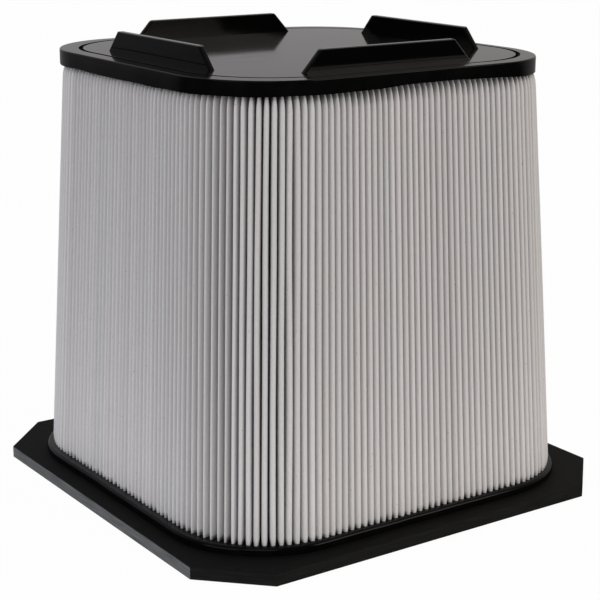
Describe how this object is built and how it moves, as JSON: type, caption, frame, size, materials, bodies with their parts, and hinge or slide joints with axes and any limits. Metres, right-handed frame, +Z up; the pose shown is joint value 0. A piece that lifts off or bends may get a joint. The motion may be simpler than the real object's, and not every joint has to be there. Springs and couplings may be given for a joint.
{
  "type": "air purifier filter",
  "caption": "Square tapered pleated air filter cartridge with a flat sealing flange at its open end and a ribbed plate that closes the other end.",
  "frame": {"origin": "centre of the flange's underside", "axes": "+Z runs up the cartridge from the flange to the closed end, +X and +Y are square to the flange's sides"},
  "size_m": [0.21, 0.21, 0.1995],
  "materials": {
    "flange_plastic": "finely grained moulded black plastic",
    "cast_polyurethane": "smooth satin cast black polyurethane",
    "cage_plastic": "plain moulded black plastic",
    "filter_media": "white pleated nonwoven filter sheet",
    "plate_plastic": "semi-gloss moulded black plastic"
  },
  "bodies": {
    "root": {"base_flange": "flange_plastic", "lower_potting_ring": "cast_polyurethane", "support_cage": "cage_plastic", "pleated_media": "filter_media", "upper_potting_ring": "cast_polyurethane", "closing_plate": "plate_plastic"}
  },
  "joints": []
}
